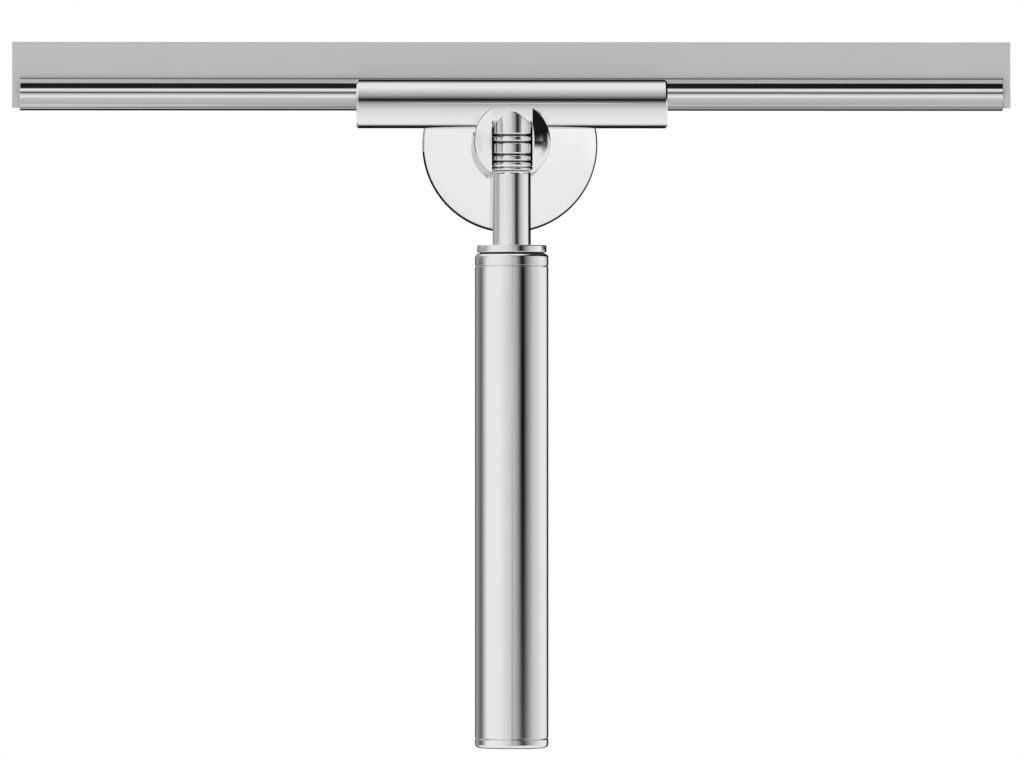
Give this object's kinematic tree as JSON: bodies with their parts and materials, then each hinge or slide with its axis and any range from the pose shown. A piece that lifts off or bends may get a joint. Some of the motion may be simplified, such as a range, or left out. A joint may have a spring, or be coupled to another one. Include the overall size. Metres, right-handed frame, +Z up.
{
  "type": "window cleaning squeegee",
  "caption": "Polished squeegee with a rubber blade in a metal rail and a round straight handle, hanging by its neck in a round wall post with a rosette.",
  "frame": {"origin": "centre of the wall plate's back face, on the wall plane", "axes": "+Y into the wall, -Y into the room, +Z up, +X to the right as seen from the room, along the blade"},
  "size_m": [0.34, 0.0545, 0.2403],
  "materials": {
    "chrome": "mirror polished chrome plate",
    "steel": "plain stainless steel",
    "brass": "turned brass",
    "blade_rubber": "smooth matt grey silicone rubber",
    "seal_rubber": "matt black rubber",
    "pad_plastic": "matt grey plastic"
  },
  "bodies": {
    "holder": {"rosette": "chrome", "wall_plate": "steel", "rosette_set_screw": "steel", "post": "chrome", "post_screw": "steel", "post_lock_washer": "steel", "post_pin": "steel", "saddle_pad_left": "pad_plastic", "saddle_pad_right": "pad_plastic"},
    "squeegee": {"blade_rail": "chrome", "head_bar": "chrome", "neck_sleeve": "chrome", "neck_washer": "chrome", "neck_tube": "chrome", "handle_collar": "chrome", "handle_top_cap": "chrome", "handle_tube": "chrome", "handle_bottom_cap": "chrome", "clamp_spindle": "steel", "flat_washer": "steel", "spring_washer": "steel", "clamp_pad": "brass", "spindle_nut": "brass", "collar_seal": "seal_rubber", "top_o_ring": "seal_rubber", "bottom_o_ring": "seal_rubber"},
    "blade": {"wiper_rubber": "blade_rubber"}
  },
  "joints": [
    {"name": "lift_off", "type": "slide", "parent": "holder", "child": "squeegee", "axis": [0, 0, 1], "range_m": [0, 0.022]},
    {"name": "blade_slide", "type": "slide", "parent": "squeegee", "child": "blade", "axis": [1, 0, 0], "range_m": [-0.34, 0.34]}
  ]
}
